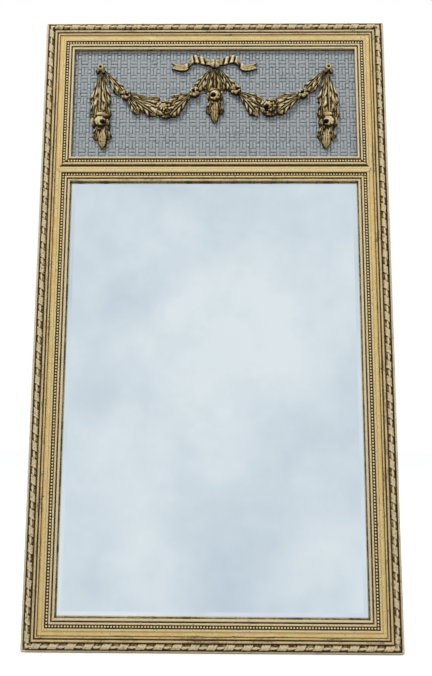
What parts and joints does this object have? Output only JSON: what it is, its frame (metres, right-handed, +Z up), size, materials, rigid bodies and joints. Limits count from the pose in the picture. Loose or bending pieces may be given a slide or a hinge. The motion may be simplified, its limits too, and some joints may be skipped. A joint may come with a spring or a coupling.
{
  "type": "trumeau wall mirror",
  "caption": "Tall wall mirror with bevelled glass under a woven panel with a bow, swags and roses, in a moulded gilt frame with ribbon and bead strips and turning hanging rings.",
  "frame": {"origin": "on the wall, at the middle of the frame's width and level with its bottom edge", "axes": "+X to the right seen from the front, +Y into the wall, +Z up; the face looks along -Y"},
  "size_m": [0.66, 0.0364, 1.17],
  "materials": {
    "gilt_wood": "antique gilding, worn",
    "gilt_ribbon": "antique gilding, rubbed",
    "gilt_beads": "antique gilding, rubbed",
    "gilt_ornament": "antique gilding over cast composition",
    "silver_weave": "silvered, semi matt",
    "raw_board": "plain board",
    "raw_wood": "plain softwood",
    "key_wood": "plain hardwood",
    "glass": "polished",
    "silvering": "mirror",
    "hanger_steel": "zinc plated",
    "bumper_felt": "soft matt"
  },
  "bodies": {
    "frame": {"bow_knot": "gilt_ornament", "bow_ribbon_left": "gilt_ornament", "bow_ribbon_right": "gilt_ornament", "corner_keys": "key_wood", "cross_rail": "gilt_wood", "cross_rail_dowels": "key_wood", "drop_leaves_centre": "gilt_ornament", "drop_leaves_left": "gilt_ornament", "drop_leaves_right": "gilt_ornament", "drop_rose_centre": "gilt_ornament", "drop_rose_left": "gilt_ornament", "drop_rose_right": "gilt_ornament", "hanger_screws": "hanger_steel", "hanger_strap_left": "hanger_steel", "hanger_strap_right": "hanger_steel", "hanging_eye_left": "gilt_ornament", "hanging_eye_right": "gilt_ornament", "mirror_backboard": "raw_board", "mirror_beads_bottom": "gilt_beads", "mirror_beads_left": "gilt_beads", "mirror_beads_right": "gilt_beads", "mirror_beads_top": "gilt_beads", "mirror_glass": "glass", "mirror_silvering": "silvering", "mirror_strips": "raw_wood", "panel_beads_bottom": "gilt_beads", "panel_beads_left": "gilt_beads", "panel_beads_right": "gilt_beads", "panel_beads_top": "gilt_beads", "panel_board": "raw_board", "panel_strips": "raw_wood", "rail_bottom": "gilt_wood", "rail_top": "gilt_wood", "ribbon_strip_bottom": "gilt_ribbon", "ribbon_strip_left": "gilt_ribbon", "ribbon_strip_right": "gilt_ribbon", "ribbon_strip_top": "gilt_ribbon", "stile_left": "gilt_wood", "stile_right": "gilt_wood", "strip_pins": "hanger_steel", "swag_flowers_left": "gilt_ornament", "swag_flowers_right": "gilt_ornament", "swag_leaves_left": "gilt_ornament", "swag_leaves_right": "gilt_ornament", "swag_rose_left": "gilt_ornament", "swag_rose_right": "gilt_ornament", "wall_bumpers": "bumper_felt", "weave_sheet": "silver_weave"},
    "ring_left": {"hanger_ring_left": "hanger_steel"},
    "ring_right": {"hanger_ring_right": "hanger_steel"}
  },
  "joints": [
    {"name": "ring_left_turn", "type": "hinge", "parent": "frame", "child": "ring_left", "pos_m": [-0.305, -0.00344, 0.99], "axis": [1, 0, 0], "range_deg": [0, 178]},
    {"name": "ring_right_turn", "type": "hinge", "parent": "frame", "child": "ring_right", "pos_m": [0.305, -0.00344, 0.99], "axis": [1, 0, 0], "range_deg": [0, 178]}
  ]
}
